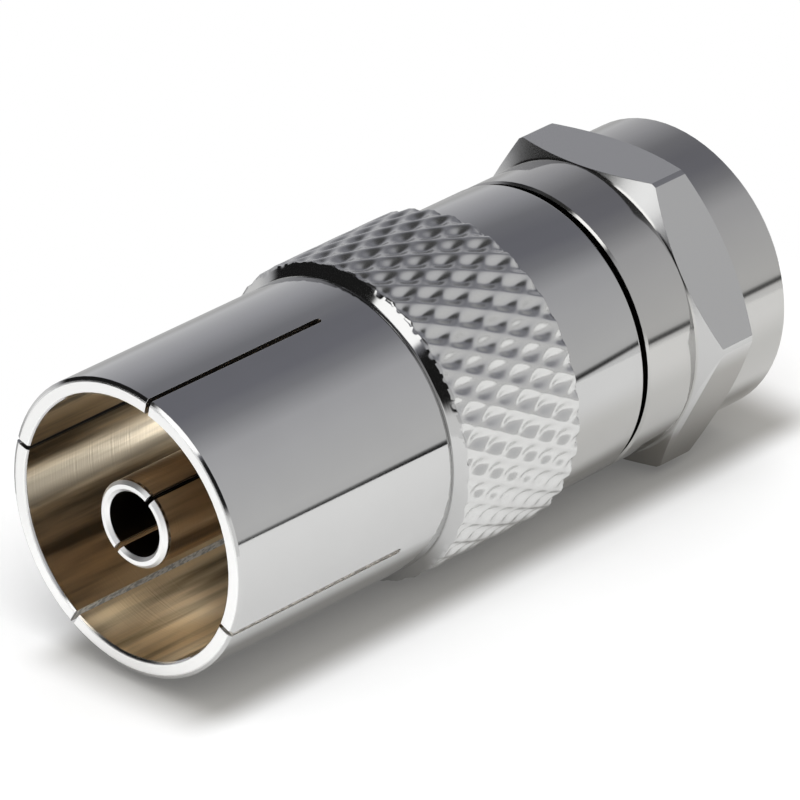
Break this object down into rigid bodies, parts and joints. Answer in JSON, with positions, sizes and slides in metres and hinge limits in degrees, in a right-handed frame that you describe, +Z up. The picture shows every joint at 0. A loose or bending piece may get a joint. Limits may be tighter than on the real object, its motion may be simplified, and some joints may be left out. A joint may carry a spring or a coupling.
{
  "type": "f connector adapter",
  "caption": "Coaxial adapter: slotted aerial socket with split centre contact at one end, F plug with captive hexagon nut at the other, diamond-knurled grip between.",
  "frame": {"origin": "on the common axis, in the plane of the socket's mouth", "axes": "+X along the common axis from the socket's mouth to the plug, +Z up as the adapter lies, with flats of the nut above and below, turned 2 degrees from level"},
  "size_m": [0.0289, 0.0128, 0.0118],
  "materials": {
    "nickel_plate": "bright nickel plate on turned brass",
    "contact_plate": "bright nickel plate on turned bronze",
    "white_plastic": "natural moulded plastic"
  },
  "bodies": {
    "adapter_body": {"socket_shell": "nickel_plate", "knurled_body": "nickel_plate", "retaining_ferrule": "nickel_plate", "socket_contact": "contact_plate", "plug_pin": "contact_plate", "socket_insulator": "white_plastic", "plug_insulator": "white_plastic"},
    "nut": {"coupling_nut": "nickel_plate"}
  },
  "joints": [
    {"name": "nut_spin", "type": "hinge", "parent": "adapter_body", "child": "nut", "pos_m": [0.0212, 0, 0], "axis": [1, 0, 0], "continuous": true}
  ]
}
